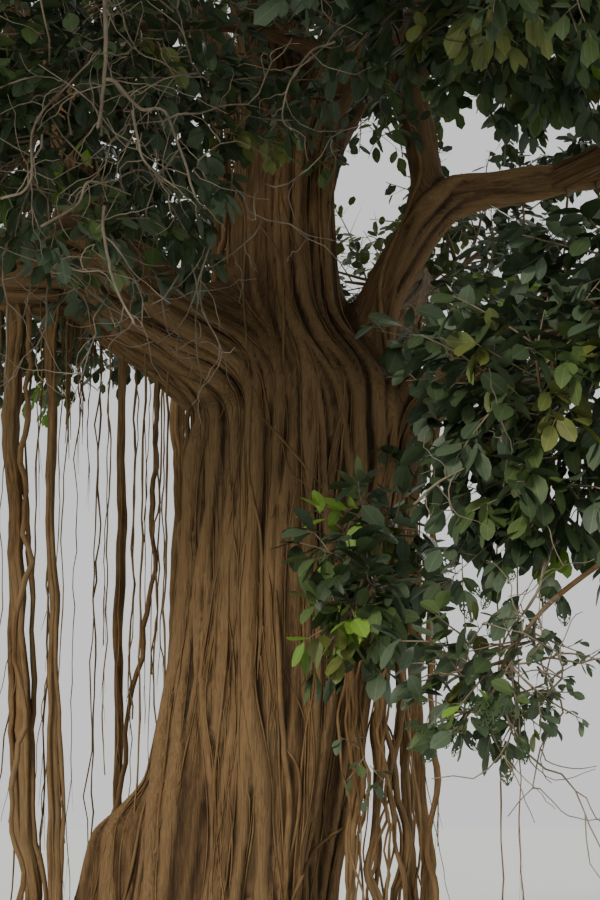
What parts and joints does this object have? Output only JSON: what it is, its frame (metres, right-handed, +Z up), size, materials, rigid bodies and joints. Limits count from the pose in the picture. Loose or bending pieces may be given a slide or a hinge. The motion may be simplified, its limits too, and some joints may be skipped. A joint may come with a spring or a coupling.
{
  "type": "banyan tree",
  "caption": "Whole banyan tree with a fluted leaning trunk, heavy forked boughs, aerial roots that hang down to the ground and a broad leafy crown.",
  "frame": {"origin": "in the flat cut under the trunk, at ground level", "axes": "+Z up; -Y towards the side that the picture shows; -X along the heaviest bough"},
  "size_m": [13.5903, 13.8104, 11.174],
  "materials": {
    "bark": "rough fluted bark, warm brown",
    "aerial_root": "rough fibrous root, ochre brown",
    "foliage": "leathery dark green leaves on pale twigs"
  },
  "bodies": {
    "root": {"trunk": "bark", "left_bough": "bark", "left_front_bough": "bark", "left_back_bough": "bark", "left_upper_bough": "bark", "leader_top_bough": "bark", "leader_back_left_bough": "bark", "leader_back_right_bough": "bark", "leader_front_left_bough": "bark", "leader_front_right_bough": "bark", "front_left_bough": "bark", "front_right_bough": "bark", "right_bough": "bark", "right_outer_bough": "bark", "right_front_bough": "bark", "right_back_bough": "bark", "back_left_bough": "bark", "back_right_bough": "bark", "right_low_bough": "bark", "right_hanging_bough": "bark", "front_cross_bough": "bark", "overhead_right_bough": "bark", "left_prop_root_outer": "aerial_root", "left_prop_root_inner": "aerial_root", "left_hanging_root": "aerial_root", "left_back_prop_root": "aerial_root", "left_near_root": "aerial_root", "left_joining_root": "aerial_root", "left_far_prop_root": "aerial_root", "right_hanging_root": "aerial_root", "right_far_prop_root": "aerial_root", "back_left_prop_root": "aerial_root", "back_right_prop_root": "aerial_root", "right_curtain_root_1": "aerial_root", "right_curtain_root_2": "aerial_root", "right_curtain_root_3": "aerial_root", "right_curtain_root_4": "aerial_root", "right_curtain_root_5": "aerial_root", "left_foliage": "foliage", "left_front_foliage": "foliage", "left_back_foliage": "foliage", "left_upper_foliage": "foliage", "leader_top_foliage": "foliage", "leader_back_left_foliage": "foliage", "leader_back_right_foliage": "foliage", "leader_front_left_foliage": "foliage", "leader_front_right_foliage": "foliage", "front_left_foliage": "foliage", "front_right_foliage": "foliage", "right_foliage": "foliage", "right_outer_foliage": "foliage", "right_front_foliage": "foliage", "right_back_foliage": "foliage", "back_left_foliage": "foliage", "back_right_foliage": "foliage", "right_low_foliage": "foliage", "right_hanging_foliage": "foliage", "front_cross_foliage": "foliage", "overhead_right_foliage": "foliage", "trunk_sprig": "foliage"}
  },
  "joints": []
}
